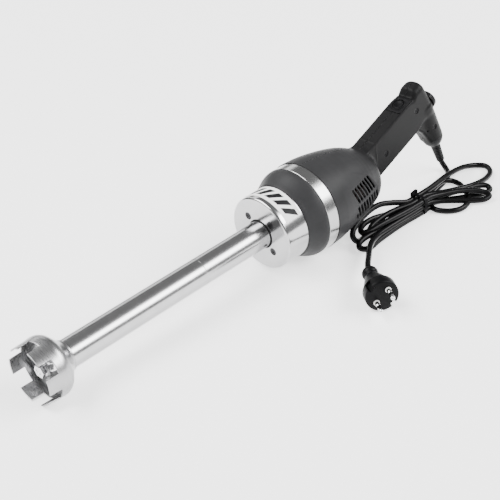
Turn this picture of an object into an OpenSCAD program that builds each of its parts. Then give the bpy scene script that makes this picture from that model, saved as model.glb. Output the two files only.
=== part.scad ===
// Commercial stick blender with its mains lead, lying on a table.
// Inside the lay() module X runs along the drive axis, from the rim of the bell to the handle,
// and Y is across the handle. lay() then sets the tool down on its bell and its motor housing.

/* [Bell and shaft] */
// Outer radius of the bell that guards the blade
guard_r = 33.9; // [32:0.1:36]
// Length of the tabs round the rim of the bell
tab_l = 15; // [12:0.5:18]
// Number of tabs round the rim
tab_count = 6; // [5:1:7]
// Outer radius of the shaft tube
tube_r = 16; // [15.6:0.1:16.4]
// Distance of the immersion line from the rim
mark_x = 226.6; // [150:1:290]

/* [Collar and housing] */
// Distance from the rim to the front face of the collar
collar_x = 322.3; // [310:0.1:330]
// Outer radius of the collar
collar_r = 43.6; // [42:0.1:44]
// Length of the collar
collar_l = 31.6; // [29:0.1:33]
// Pitch radius of the collar screws
screw_pitch_r = 24.3; // [23:0.1:27]
// Outer radius of the trim band
band_r = 53.6; // [52:0.1:54]
// Width of the trim band
band_w = 14.6; // [12:0.1:16]
// Length of the nose ring between the collar and the trim band
nose_l = 24.6; // [22:0.1:26]
// Number of ventilation slots in each upper bank
vent_count = 7; // [5:1:7]

/* [Handle] */
// Angle between the handle and the drive axis
handle_lean = 21.25; // [18:0.25:24]
// Width of the handle
handle_w = 25.8; // [25:0.1:30]
// Depth of the handle from its button face to its underside
handle_d = 44.8; // [42:0.1:46]
// Rise of the rounded end of the handle above the switch, mm
nose_rise = 6; // [0:0.5:8]
// Travel of the push button
button_travel = 2.5; // [1.5:0.1:3]
// Radius of the speed knob
knob_r = 12; // [11:0.1:12.4]

/* [Mains lead] */
// Diameter of the mains lead
cord_d = 7; // [6:0.1:7.2]
// Distance between the plug pins
pin_pitch = 19; // [18.9:0.1:19.1]

/* [Hidden] */
$fn = 72;

// Places along the drive axis
collar_end = collar_x + collar_l;
band_x = collar_end + nose_l;
band_end = band_x + band_w;
tube_end = collar_x + 22;
seat_gap = 0.05;

// Radii of the turned parts inside
shaft_r = 5;
tube_bore = 14.5;
wall = 3;

// How the tool lies: the bell and the front edge of the trim band touch the table
pitch = atan((band_r - guard_r) / (band_x - tab_l));
lift = guard_r * cos(pitch) - tab_l * sin(pitch);
origin_x = 322.4;

// Handle frame: origin at the button centre on the button face
handle_x = 564.7;
handle_z = 57;
nose_a = 31.4;
nose_r = handle_w / 2;
seam_w = -84;
cap_w = -97;
relief_w = -129;
knob_w = -33;
knob_a = 41.6;
screw_spots = [[11.5, -17.2], [-54.5, -25.8], [29.2, -62.2]];

// Outline of the housing behind the trim band: [distance behind the band, radius]
shell_curve = [
    [0, 54.3], [8, 54.1], [17, 53.5], [27, 52.2], [37, 50.4], [47, 48.5], [57, 46.7], [66, 44.6],
    [72, 43.1], [78, 41.2], [85, 38.5], [90, 36.4], [95, 34], [99, 31], [102, 27.8], [107, 21.7],
    [110, 16], [112, 10], [113, 5], [113.3, 0]];

// Route of the lead from the strain relief to the hank and from the hank to the plug
lead_route = [
    [642.6, 0, 15.9], [645.4, -0.8, 9.8], [646, -4.2, 6], [643.5, -10, 4.1], [637.5, -16.5, 3.7],
    [629, -22.5, 3.6], [619, -27, 3.8], [610, -30.5, 4.4]];
plug_route = [
    [462, -56, 9], [450, -58, 10], [436, -64, 11], [423, -71, 12.5], [412, -79.5, 14],
    [401, -88.5, 16], [389, -98, 18.2], [376.2, -109.9, 19.3]];

// Plug: centre of its round face, the way its pins point and how far it is rolled over
plug_at = [346.5, -155, 19.3];
plug_turn = -123.4;
pin_angle = -42.8;
pin_l = 19;
pin_r = 2.4;
pin_root = 12;
root_r = 2.1;
plug_r = 18.6;
earth_gap = 16;

// Outline of the plug behind its face: [distance, radius]
plug_curve = [
    [0, 17.6], [1, plug_r], [13.5, plug_r], [15, 17], [17, 15.6], [24, 12.6], [32, 9.4],
    [38, 7.4], [40, 6], [41.5, 6.8], [43, 5.6], [45, 7], [48, 7.6], [51, 7], [53, 5],
    [54, 4]];

// ---- Placing -------------------------------------------------------------------------------

// The table frame has its origin under the middle of the tool
module table() translate([-origin_x, 0, 0]) children();

module lay() translate([-origin_x, 0, lift]) rotate([0, -pitch, 0]) children();

// Solid of revolution round the drive axis from [radius, distance] points
module turned(points) rotate([0, 90, 0]) rotate_extrude() polygon(points);

module disc(x0, x1, r) translate([x0, 0, 0]) rotate([0, 90, 0]) cylinder(r = r, h = x1 - x0);

module ring(x0, x1, r_out, r_in) difference() {
    disc(x0, x1, r_out);
    disc(x0 - 1, x1 + 1, r_in);
}

// Handle frame: local X along the handle, local Z out of the button face
module on_handle() lay() translate([handle_x, 0, handle_z]) rotate([0, -handle_lean, 0]) children();

// Tube along a route, as one closed polyhedron of rings
function unit(v) = v / norm(v);
function smooth_at(p, i, t) =
    let (a = p[max(i - 1, 0)], b = p[i], c = p[i + 1], d = p[min(i + 2, len(p) - 1)])
    0.5 * ((2 * b) + (c - a) * t + (2 * a - 5 * b + 4 * c - d) * t * t
        + (3 * b - a - 3 * c + d) * t * t * t);
function smooth_route(p, cuts) = concat(
    [for (i = [0 : len(p) - 2]) for (k = [0 : cuts - 1]) smooth_at(p, i, k / cuts)],
    [p[len(p) - 1]]);
function heading(p, i) = unit(p[min(i + 1, len(p) - 1)] - p[max(i - 1, 0)]);
function side_of(h, s) = unit(s - (s * h) * h);
function frames(p, i = 0, s = [0.1, 0.9, 0.2]) =
    let (h = heading(p, i), n = side_of(h, s))
    i == len(p) - 1 ? [[n, cross(h, n)]] : concat([[n, cross(h, n)]], frames(p, i + 1, n));

module swept_tube(p, r, sides) {
    f = frames(p);
    rings = len(p);
    points = [for (i = [0 : rings - 1]) for (k = [0 : sides - 1])
        p[i] + r * (cos(360 * k / sides) * f[i][0] + sin(360 * k / sides) * f[i][1])];
    walls = [for (i = [0 : rings - 2]) for (k = [0 : sides - 1])
        let (a = i * sides + k, b = i * sides + (k + 1) % sides)
        [a, a + sides, b + sides, b]];
    start = [[for (k = [0 : sides - 1]) k]];
    finish = [[for (k = [sides - 1 : -1 : 0]) (rings - 1) * sides + k]];
    polyhedron(points, concat(walls, start, finish), convexity = 6);
}

// ---- Bell, blade and shaft -------------------------------------------------------------------

shoulder_r = 14;
shoulder_x = 22;
neck_r = 17.6;
neck_x = 42.5;

// Half outline of the bell, [radius, distance], pulled in by t
function bell_curve(t) = concat(
    [for (a = [0 : 8 : 48])
        [guard_r - shoulder_r + (shoulder_r - t) * cos(a), shoulder_x + (shoulder_r - t) * sin(a)]],
    [[neck_r, neck_x - 1.4 * t]]);

module blade_guard() color("silver") lay() difference() {
    turned(concat([[0, 0], [guard_r, 0]], bell_curve(0), [[neck_r, neck_x + 3], [0, neck_x + 3]]));
    turned(concat([[0, -1], [guard_r - 1.5, -1]], bell_curve(1.5), [[0, neck_x - 2.1]]));
    disc(30, neck_x + 4, tube_r);
    for (i = [0 : tab_count - 1]) rotate([360 * i / tab_count - 3, 0, 0])
        translate([-1, -guard_r * sin(90 / tab_count), 20])
            cube([tab_l + 1, 2 * guard_r * sin(90 / tab_count), guard_r]);
}

module shaft_tube() color("gainsboro") lay() difference() {
    disc(40, tube_end, tube_r);
    disc(39, tube_end + 1, tube_bore);
    ring(mark_x - 0.3, mark_x + 0.3, tube_r + 1, tube_r - 0.25);
}

// Two arms, swept back a little and twisted in opposite ways
module blade() color("lightgrey") lay() difference() {
    union() {
        disc(18, 23, 8.5);
        for (a = [0, 180]) rotate([a + 62, 0, 0]) translate([20.5, 0, 5]) rotate([0, 0, 16])
            translate([-0.8, -4.5, 0]) cube([1.6, 9, 22]);
    }
    disc(17, 24, shaft_r);
}

module blade_nut() color("whitesmoke") lay() difference() {
    translate([11, 0, 0]) rotate([0, 90, 0]) cylinder(r = 8, h = 7, $fn = 6);
    disc(15, 19, shaft_r);
    for (s = [-1, 1]) translate([0, 1.6 * s, 0]) disc(10, 13, 0.8);
}

module blade_spacer() color("silver") lay() ring(23, 31.5, 8, shaft_r);

module lip_seal() color("dimgray") lay() turned([
    [shaft_r + 0.1, 33], [9, 33], [tube_r - 0.1, 35], [tube_r - 0.1, 39.9],
    [8, 39.9], [7, 36.5], [shaft_r + 0.1, 35]]);

module lower_bush() color("peru") lay() ring(40, 60, tube_bore, shaft_r + seat_gap);

module drive_shaft() color("silver") lay() disc(15, tube_end + 1, shaft_r);

module bearing(x0, x1, r) {
    ring(x0, x1, r, r - 2.2);
    ring(x0, x1, shaft_r + 2.4, shaft_r + seat_gap);
    ring(x0 + 1, x1 - 1, r - 1.9, shaft_r + 2.1);
}

module tube_bearing() color("silver") lay() bearing(tube_end - 18, tube_end - 10, tube_bore);

module tube_flange() color("silver") lay() ring(tube_end - 4, tube_end, 21, tube_r);

// ---- Collar -----------------------------------------------------------------------------------

edge_r = 2.6;
recess_x = tube_end - 4;
screw_head_r = 4;

module screw_places() for (a = [45 : 90 : 315]) rotate([a, 0, 0]) translate([0, 0, screw_pitch_r])
    children();

module collar() color("gainsboro") lay() difference() {
    turned(concat(
        [[0, collar_x]],
        [for (a = [90 : -15 : 0])
            [collar_r - edge_r + edge_r * cos(a), collar_x + edge_r - edge_r * sin(a)]],
        [[collar_r, collar_end], [0, collar_end]]));
    disc(collar_x - 1, collar_end + 1, tube_r);
    disc(collar_x - 1, collar_x + 4, tube_r + 1.5);
    disc(recess_x, collar_end + 1, 36);
    screw_places() disc(collar_x - 1, collar_x + 4.5, screw_head_r + 0.15);
    screw_places() disc(collar_x, collar_end, 2.6);
}

module collar_screws() color("gray") lay() screw_places() difference() {
    union() {
        disc(collar_x + 0.5, collar_x + 4.5, screw_head_r);
        disc(collar_x + 4.5, collar_end + 5.5, 2.5);
    }
    translate([collar_x - 1, 0, 0]) rotate([0, 90, 0]) cylinder(r = 2.3, h = 4, $fn = 6);
}

module tube_seal() color("black") lay() ring(collar_x, collar_x + 4, tube_r + 1.5, tube_r);

label_near = 33;
label_far = 4;

// Printed plate bent over the top of the collar, from label_near degrees up on the near side
module collar_label() color("white") lay() difference() {
    ring(collar_x + 6.7, collar_end - 1.5, collar_r + 0.35, collar_r);
    translate([collar_x, -60, -60]) cube([collar_l, 120, 60]);
    rotate([-label_near, 0, 0]) translate([collar_x, -60, -60]) cube([collar_l, 60, 60]);
    rotate([label_far, 0, 0]) translate([collar_x, 0, -60]) cube([collar_l, 60, 60]);
}

// ---- Motor ------------------------------------------------------------------------------------

bracket_x = collar_end - 6;
bearing_r = 13;
fan_x = collar_end + 16;
stator_x = band_end + 5;
stator_l = 34;
stator_r = 44;
rotor_r = 25.5;
comm_x = stator_x + stator_l + 11;
rear_x = comm_x + 16;

module front_bracket() color("darkgray") lay() difference() {
    union() {
        disc(bracket_x, collar_end, 35.9);
        disc(collar_end, collar_end + 8, 41.8);
    }
    disc(bracket_x - 1, collar_end + 9, 10);
    disc(collar_end, collar_end + 9, bearing_r);
    screw_places() disc(bracket_x - 1, collar_end + 9, 2.5);
}

module front_bearing() color("silver") lay() bearing(collar_end, collar_end + 8, bearing_r);

module coupling_sleeve() color("dimgray") lay() difference() {
    disc(tube_end - 8, collar_end - 2, 9);
    disc(tube_end - 9, collar_end, shaft_r);
}

module nose_ring() color("#3f4143") lay() turned([
    [42, collar_end], [collar_r + 0.6, collar_end], [46.2, collar_end + 4],
    [48.6, collar_end + 9], [50.9, collar_end + 14], [52.8, collar_end + 19],
    [band_r, band_x - 2], [band_r, band_x], [49.6, band_x], [49.6, band_x - 6],
    [42, collar_end + 12]]);

module trim_band() color("gainsboro") lay() ring(band_x, band_end, band_r, band_r - 1.2);

module motor_shaft() color("silver") lay() disc(tube_end + 1.2, rear_x + 14, shaft_r);

module cooling_fan() color("ivory") lay() {
    difference() {
        union() {
            disc(fan_x, fan_x + 1.6, 40);
            disc(fan_x, fan_x + 14, 9);
        }
        disc(fan_x - 1, fan_x + 15, shaft_r);
    }
    for (i = [0 : 8]) rotate([40 * i, 0, 0]) translate([fan_x + 1.6, -0.8, 11])
        cube([11, 1.6, 28]);
}

module rotor_core() color("slategray") lay() difference() {
    disc(stator_x + 1, stator_x + stator_l - 1, rotor_r);
    disc(stator_x, stator_x + stator_l, shaft_r);
    for (i = [0 : 11]) rotate([30 * i, 0, 0]) {
        translate([0, 0, 19]) disc(stator_x, stator_x + stator_l, 3);
        translate([stator_x, -0.9, 20]) cube([stator_l, 1.8, 8]);
    }
}

module armature_winding() color("chocolate") lay() {
    turned([
        [shaft_r, stator_x - 8], [17, stator_x - 8], [21.5, stator_x - 5], [21.5, stator_x + 1],
        [shaft_r, stator_x + 1]]);
    turned([
        [shaft_r, stator_x + stator_l - 1], [21.5, stator_x + stator_l - 1],
        [21.5, stator_x + stator_l + 5], [16, stator_x + stator_l + 9],
        [shaft_r, stator_x + stator_l + 9]]);
}

module commutator() color("chocolate") lay() difference() {
    disc(comm_x, comm_x + 13, 11);
    disc(comm_x - 1, comm_x + 14, shaft_r);
    for (i = [0 : 23]) rotate([15 * i, 0, 0]) translate([comm_x + 2, -0.3, 9.4]) cube([12, 0.6, 4]);
}

module stator_core() color("slategray") lay() difference() {
    disc(stator_x, stator_x + stator_l, stator_r);
    disc(stator_x - 1, stator_x + stator_l + 1, rotor_r + 0.8);
    for (s = [0, 180]) rotate([s, 0, 0]) intersection() {
        ring(stator_x - 1, stator_x + stator_l + 1, 37, 20);
        translate([stator_x - 1, -38, -17]) cube([stator_l + 2, 25, 34]);
    }
}

// One winding round each pole, with its end turns in front of and behind the laminations
module field_coils() color("sienna") lay() for (s = [0, 180]) rotate([s, 0, 0]) difference() {
    union() {
        intersection() {
            union() {
                ring(stator_x - 8, stator_x, 36.5, 28);
                ring(stator_x + stator_l, stator_x + stator_l + 8, 36.5, 28);
            }
            translate([stator_x - 9, -40, 3]) cube([stator_l + 18, 80, 40]);
        }
        for (m = [0, 1]) mirror([0, m, 0]) intersection() {
            ring(stator_x - 1, stator_x + stator_l + 1, 36.5, 28);
            translate([stator_x - 1, -38, 3]) cube([stator_l + 2, 18, 13.5]);
        }
    }
    disc(stator_x - 10, stator_x + stator_l + 10, 27.6);
}

module rear_bracket() color("darkgray") lay() difference() {
    union() {
        disc(rear_x, rear_x + 8, 15);
        for (a = [0, 180]) rotate([a, 0, 0]) {
            translate([rear_x, -7, 10]) cube([5, 14, 28.8]);
            translate([stator_x + stator_l, -7, 36.8])
                cube([rear_x + 5 - stator_x - stator_l, 14, 2]);
            rotate([90, 0, 0]) translate([rear_x, -7, 10]) cube([5, 14, 23]);
        }
    }
    disc(rear_x - 1, rear_x + 6, 11);
    disc(rear_x + 5, rear_x + 9, 7);
}

module rear_bearing() color("silver") lay() bearing(rear_x, rear_x + 6, 11);

module brush_holders() color("#b08d3a") lay() for (m = [0, 1]) mirror([0, m, 0]) difference() {
    translate([comm_x + 2, 13, -6]) cube([rear_x - comm_x - 2, 20, 12]);
    translate([comm_x + 3.4, 12, -4.6]) cube([7.2, 20, 9.2]);
}

module carbon_brushes() color("#222222") lay() for (m = [0, 1]) mirror([0, m, 0])
    translate([comm_x + 3.6, 11.4, -4.4]) cube([6.8, 16, 8.8]);

// ---- Housing and handle -----------------------------------------------------------------------

function shell_points(t) = [for (p = shell_curve) [max(p[1] - t, 0), band_end + p[0] - t * 0.3]];

module housing_outside() turned(concat(
    [[0, band_x], [band_r - 1.2, band_x], [band_r - 1.2, band_end]], shell_points(0)));

module housing_inside() turned(concat(
    [[0, band_x - 1], [band_r - 4.2, band_x - 1], [band_r - 4.2, band_end + 2]],
    shell_points(wall)));

// Side view of the handle with its hook, in the handle frame, t pulled in from the outside
module handle_side(t) {
    end_a = nose_a + nose_r - t;
    corner = 13 - t;
    top = nose_rise - t;
    polygon(concat(
        [[-92, -t], [13.6, -t], [16.5, 0.35 * nose_rise - t], [21, 0.9 * nose_rise - t], [24, top]],
        [for (a = [90 : -15 : 0]) [end_a - corner + corner * cos(a), top - corner + corner * sin(a)]],
        [[end_a, seam_w], [nose_a - nose_r + t, seam_w], [nose_a - nose_r + t - 2, -72],
            [nose_a - nose_r + t - 6, -60], [nose_a - nose_r + t - 12, -50],
            [nose_a - nose_r - 19, -handle_d + t], [-92, -handle_d + t]]));
}

// Top view of the handle: straight sides and a half-round end
module handle_top(t) {
    translate([-92, -nose_r + t]) square([92 + nose_a, handle_w - 2 * t]);
    translate([nose_a, 0]) circle(r = nose_r - t);
}

// Top view of the hook below the handle: a round boss that narrows to the front
module hook_top(t) {
    translate([nose_a, 0]) circle(r = nose_r - t);
    translate([-8, -8 + t]) square([nose_a + 8, 16 - 2 * t]);
}

module handle_solid(t) {
    intersection() {
        rotate([90, 0, 0]) linear_extrude(height = 60, center = true) handle_side(t);
        translate([0, 0, -handle_d + t]) linear_extrude(height = handle_d + nose_rise) handle_top(t);
    }
    intersection() {
        rotate([90, 0, 0]) linear_extrude(height = 60, center = true) handle_side(t);
        translate([0, 0, seam_w]) linear_extrude(height = 60) hook_top(t);
    }
}

module handle_frame() translate([handle_x, 0, handle_z]) rotate([0, -handle_lean, 0]) children();

vent_pitch = 5.85;
vent_lean = 25;
vent_first = 36.6;
vent_w = 3.2;

// Slots through one side wall: an upper and a lower bank with a rib between them
module vents() for (i = [0 : vent_count]) translate([band_end + vent_first + vent_pitch * i, -60, 0])
    rotate([0, -vent_lean, 0]) {
        if (i > 0) translate([-vent_w / 2, 0, 2.2]) cube([vent_w, 40, 21]);
        translate([-vent_w / 2, 0, -21]) cube([vent_w, 40, 19.3]);
    }

// The shell on the side of negative Y: the two meet on the middle plane
module half_shell(recess) difference() {
    intersection() {
        union() {
            difference() {
                union() {
                    housing_outside();
                    handle_frame() handle_solid(0);
                }
                housing_inside();
                handle_frame() handle_solid(2.6);
            }
            for (x = [stator_x + 4, stator_x + stator_l - 8]) intersection() {
                ring(x, x + 4, 52.5, stator_r + seat_gap);
                housing_outside();
            }
            handle_frame() {
                for (s = screw_spots) translate([s[0], 0, s[1]]) rotate([90, 0, 0])
                    cylinder(r = 3.4, h = nose_r - 1.5);
                intersection() {
                    handle_solid(0);
                    translate([knob_a - 4.2, -20, knob_w - 13.5]) cube([6, 40, 27]);
                }
            }
        }
        translate([band_x - 5, -100, -150]) cube([400, 100, 300]);
    }
    vents();
    handle_frame() {
        translate([-12.6, -10.2, -5]) cube([25.2, 20.4, 8]);
        translate([-13, -11.1, -1.2]) cube([26, 22.2, 3]);
        translate([knob_a, 0, knob_w]) rotate([0, 90, 0]) cylinder(r = knob_r + 0.5, h = 20);
        translate([30, 0, knob_w]) rotate([0, 90, 0]) cylinder(r = 3.6, h = 20);
        for (s = screw_spots) translate([s[0], 0, s[1]]) rotate([90, 0, 0]) {
            translate([0, 0, -1]) cylinder(r = 1.6, h = nose_r - (recess ? -2 : 4));
            if (recess) translate([0, 0, nose_r - 2]) cylinder(r = 3.2, h = 20);
        }
    }
}

module left_shell() color("#45474a") lay() half_shell(true);

module right_shell() color("#45474a") lay() mirror([0, 1, 0]) half_shell(false);

module shell_screws() color("#2a2b2d") on_handle() for (s = screw_spots)
    translate([s[0], 0, s[1]]) rotate([90, 0, 0]) difference() {
        union() {
            translate([0, 0, nose_r - 1.9]) cylinder(r = 3, h = 1.2);
            translate([0, 0, -3]) cylinder(r = 1.5, h = nose_r + 1.2);
        }
        for (a = [0, 90]) rotate([0, 0, a]) translate([-2, -0.4, nose_r - 1.2]) cube([4, 0.8, 2]);
    }

// ---- Controls -----------------------------------------------------------------------------------

module speed_board() color("darkgreen") on_handle() {
    translate([-48, -9.5, -38]) cube([32, 19, 1.6]);
    translate([-46, -6, -36.4]) cube([12, 12, 9]);
    translate([-31, -8, -36.4]) cube([8, 5, 11]);
    translate([-25, 3, -36.4]) cylinder(r = 4, h = 10);
}

module potentiometer() color("steelblue") on_handle() translate([28.5, 0, knob_w]) rotate([0, 90, 0])
    difference() {
        cylinder(r = 8, h = 8);
        translate([0, 0, 2]) cylinder(r = 3 + seat_gap, h = 8);
    }

module speed_spindle() color("silver") on_handle() translate([31, 0, knob_w]) rotate([0, 90, 0])
    cylinder(r = 3, h = 16);

module speed_knob() color("#161616") on_handle() translate([knob_a + 0.4, 0, knob_w])
    rotate([0, 90, 0]) difference() {
        rotate_extrude() polygon([
            [0, 0], [knob_r, 0], [knob_r, 1.8], [knob_r - 0.5, 4.6], [knob_r - 2, 6.6],
            [knob_r - 5, 7.5], [0, 7.9]]);
        translate([0, 0, -1]) cylinder(r = 3, h = 6);
    }

module switch_body() color("#2b2b2b") on_handle() difference() {
    translate([-11, -8, -32]) cube([18.5, 16, 18]);
    translate([0, 0, -26]) cylinder(r = 3.3, h = 20);
}

module switch_bezel() color("#131313") on_handle() difference() {
    union() {
        translate([-12.9, -11, -1.2]) cube([25.8, 22, 1.9]);
        translate([-12.4, -10, -13.5]) cube([24.8, 20, 13]);
        cylinder(r = 8.6, h = 1.4);
    }
    translate([0, 0, -11]) cylinder(r = 7, h = 20);
    translate([0, 0, -15]) cylinder(r = 3.3, h = 10);
}

spring_r = 4.6;
spring_wire_r = 0.45;
spring_foot = -10.4;
spring_l = 6.8;
stem_r = 3;

// The cap is a cup, so that it closes over the spring when it is pressed
module push_button() color("#101010") on_handle() {
    difference() {
        translate([0, 0, -3]) cylinder(r = 6.6, h = 4);
        translate([0, 0, -4]) cylinder(r = spring_r + 0.8, h = 3.5);
    }
    translate([0, 0, -22]) cylinder(r = stem_r, h = 22.5);
}

spring_route = [for (i = [0 : 48])
    [spring_r * cos(30 * i), spring_r * sin(30 * i), spring_foot + spring_l * i / 48]];

module return_spring() color("silver") on_handle() swept_tube(spring_route, spring_wire_r, 6);

module cord_clamp() color("#2b2b2b") on_handle() difference() {
    translate([nose_a - 7.5, -6, -74]) cube([15, 12, 7]);
    translate([nose_a, 0, -80]) cylinder(r = cord_d / 2 + 0.5, h = 20);
}

module gland_cap() color("#3a3c3f") on_handle() translate([nose_a, 0, 0]) rotate_extrude() polygon([
    [cord_d / 2 + 0.3, seam_w], [nose_r - 0.4, seam_w], [nose_r, seam_w - 1.5],
    [nose_r - 0.2, seam_w - 5], [nose_r - 2.2, seam_w - 9.5], [nose_r - 4.6, cap_w],
    [cord_d / 2 + 0.3, cap_w]]);

module strain_relief() color("#151515") on_handle() translate([nose_a, 0, 0]) difference() {
    rotate_extrude() polygon([
        [0, cap_w], [5.9, cap_w], [5.8, cap_w - 4], [4.5, relief_w], [0, relief_w]]);
    translate([0, 0, relief_w + 2]) cylinder(r = 2, h = 60);
}

// ---- Mains lead and plug ----------------------------------------------------------------------

module mains_lead() color("#111111") table()
    swept_tube(smooth_route(lead_route, 2), cord_d / 2, 10);

module plug_lead() color("#111111") table()
    swept_tube(smooth_route(plug_route, 2), cord_d / 2, 10);

hank_h = 14;
hank_left = [450, -50];
hank_left_r = 19;
hank_right = [642, -61];
hank_right_r = 33;
tie_x = 538;
tie_w = 4.6;
tie_y = [-81, -33];

module hank_outline() {
    translate(hank_left) circle(r = hank_left_r);
    translate(hank_right) circle(r = hank_right_r);
    polygon([
        hank_left + [0, hank_left_r], hank_right + [0, hank_right_r],
        hank_right - [0, hank_right_r], hank_left - [0, hank_left_r]]);
}

// The coil is a little smaller where the tie goes round it
module cord_hank() color("#151515") table() difference() {
    linear_extrude(height = hank_h) hank_outline();
    translate([tie_x - 0.2, -120, 0]) difference() {
        translate([0, 0, -1]) cube([tie_w + 0.4, 120, hank_h + 2]);
        translate([-1, 120 + tie_y[0] + 1.2, 1.2])
            cube([tie_w + 3, tie_y[1] - tie_y[0] - 2.4, hank_h - 2.4]);
    }
}

module cable_tie() color("#0c0c0c") table() {
    difference() {
        translate([tie_x, tie_y[0] + 0.1, 0.1]) cube([tie_w, tie_y[1] - tie_y[0] - 0.2, hank_h - 0.2]);
        translate([tie_x - 1, tie_y[0] + 1.2, 1.2])
            cube([tie_w + 3, tie_y[1] - tie_y[0] - 2.4, hank_h - 2.4]);
    }
    translate([tie_x, tie_y[1] - 12, hank_h - 0.4]) cube([tie_w, 10, 4]);
}

// Plug frame: local X points the way the pins do
module at_plug() table() translate(plug_at) rotate([0, 0, plug_turn]) children();

module along_pins(x0, r, l) translate([x0, 0, 0]) rotate([0, 90, 0]) cylinder(r = r, h = l);

module at_pins() rotate([pin_angle, 0, 0]) for (s = [-1, 1]) translate([0, 0, s * pin_pitch / 2])
    children();

module plug_body() color("#191919") at_plug() difference() {
    turned(concat([[0, 0]], [for (p = plug_curve) [p[1], -p[0]]], [[0, -54]]));
    rotate([pin_angle + 90, 0, 0]) for (s = [0, 1]) mirror([0, 0, s])
        translate([-11, -2.6, earth_gap]) cube([12, 5.2, 6]);
    at_pins() along_pins(-pin_root, root_r, pin_root + 1);
    at_pins() along_pins(-1, pin_r + 1.1, 2);
}

module pin_collars() color("white") at_plug() at_pins() difference() {
    along_pins(-1, pin_r + 1.1, 1.4);
    along_pins(-2, root_r, 4);
}

module plug_pins() color("silver") at_plug() at_pins() {
    along_pins(-pin_root, root_r, pin_root + 1);
    along_pins(0.6, pin_r, pin_l - pin_r - 0.6);
    intersection() {
        translate([pin_l - pin_r, 0, 0]) sphere(r = pin_r);
        along_pins(pin_l - pin_r, pin_r, pin_r + 1);
    }
}

blade_guard();
shaft_tube();
blade();
blade_nut();
blade_spacer();
lip_seal();
lower_bush();
drive_shaft();
tube_bearing();
tube_flange();
coupling_sleeve();
collar();
collar_screws();
tube_seal();
collar_label();
front_bracket();
front_bearing();
nose_ring();
trim_band();
motor_shaft();
cooling_fan();
rotor_core();
armature_winding();
commutator();
stator_core();
field_coils();
rear_bracket();
rear_bearing();
brush_holders();
carbon_brushes();
left_shell();
right_shell();
shell_screws();
speed_board();
potentiometer();
speed_spindle();
speed_knob();
switch_body();
switch_bezel();
push_button();
return_spring();
cord_clamp();
gland_cap();
strain_relief();
mains_lead();
cord_hank();
cable_tie();
plug_lead();
plug_body();
pin_collars();
plug_pins();
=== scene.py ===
import bmesh
import bpy
import math
import numpy as np
from mathutils import Matrix, Vector


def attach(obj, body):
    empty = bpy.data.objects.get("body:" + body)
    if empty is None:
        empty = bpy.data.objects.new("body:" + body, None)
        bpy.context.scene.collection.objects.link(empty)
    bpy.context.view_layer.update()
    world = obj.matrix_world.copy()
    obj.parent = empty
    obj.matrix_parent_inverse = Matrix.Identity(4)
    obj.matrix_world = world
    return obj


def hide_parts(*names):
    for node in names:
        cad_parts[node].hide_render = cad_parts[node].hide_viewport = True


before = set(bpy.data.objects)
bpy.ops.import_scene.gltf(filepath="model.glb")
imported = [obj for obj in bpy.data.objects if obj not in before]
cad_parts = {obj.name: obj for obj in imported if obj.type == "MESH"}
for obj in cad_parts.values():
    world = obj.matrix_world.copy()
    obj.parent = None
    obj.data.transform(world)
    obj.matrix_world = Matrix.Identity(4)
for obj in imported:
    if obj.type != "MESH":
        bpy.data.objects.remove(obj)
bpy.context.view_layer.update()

# ---- frames
# The tool rests on the bell and on the trim band, so its axis rises towards the handle.
MM = 0.001
ORIGIN_X = 322.4
GUARD_R, TAB_L = 33.9, 15.0
BAND_R, BAND_X = 53.6, 378.5
PITCH = math.atan((BAND_R - GUARD_R) / (BAND_X - TAB_L))
LIFT = GUARD_R * math.cos(PITCH) - TAB_L * math.sin(PITCH)
LAY = Matrix.Translation((-ORIGIN_X * MM, 0, LIFT * MM)) @ Matrix.Rotation(-PITCH, 4, "Y")
LEAN = math.radians(21.25)
HANDLE_X, HANDLE_Z = 564.7, 57.0
HANDLE = LAY @ Matrix.Translation((HANDLE_X * MM, 0, HANDLE_Z * MM)) @ Matrix.Rotation(-LEAN, 4, "Y")
TABLE = Matrix.Translation((-ORIGIN_X * MM, 0, 0))
PLUG_AT = (0.3465, -0.155, 0.0193)
PLUG_TURN = math.radians(-123.4)
PLUG = TABLE @ Matrix.Translation(PLUG_AT) @ Matrix.Rotation(PLUG_TURN, 4, "Z")

# ---- camera
# place and directions are given in the frame of the tool
CAMERA_AT = Vector((-0.5077, -0.9237, 0.7723))
CAMERA_RIGHT = Vector((0.7038, -0.7033, -0.1001))
CAMERA_UP = Vector((0.4415, 0.3227, 0.8372))
cam_data = bpy.data.cameras.new("camera")
cam = bpy.data.objects.new("camera", cam_data)
bpy.context.collection.objects.link(cam)
cam_data.sensor_width = 36
cam_data.lens = 94.84
cam_data.clip_start, cam_data.clip_end = 0.05, 20
right = LAY.to_3x3() @ CAMERA_RIGHT
up = LAY.to_3x3() @ CAMERA_UP
back = right.cross(up).normalized()
up = back.cross(right).normalized()
right = up.cross(back).normalized()
turned = Matrix((right, up, back)).transposed().to_4x4()
cam.matrix_world = Matrix.Translation(LAY @ CAMERA_AT) @ turned
bpy.context.scene.camera = cam


# ---- materials
def principled(m):
    return m.node_tree.nodes["Principled BSDF"]


def material(name, base, rough, metal=0.0, spec=0.5):
    m = bpy.data.materials.new(name)
    m.use_nodes = True
    p = principled(m)
    p.inputs["Base Color"].default_value = (*base, 1)
    p.inputs["Roughness"].default_value = rough
    p.inputs["Metallic"].default_value = metal
    p.inputs["Specular IOR Level"].default_value = spec
    return m


def node(m, kind, **sets):
    n = m.node_tree.nodes.new(kind)
    for k, v in sets.items():
        if k in n.inputs:
            n.inputs[k].default_value = v
        else:
            setattr(n, k, v)
    return n


def link(m, a, b):
    m.node_tree.links.new(a, b)


def coords(m, scale=(1, 1, 1)):
    tc = node(m, "ShaderNodeTexCoord")
    mp = node(m, "ShaderNodeMapping")
    mp.inputs["Scale"].default_value = scale
    link(m, tc.outputs["Object"], mp.inputs["Vector"])
    return mp.outputs["Vector"]


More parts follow.
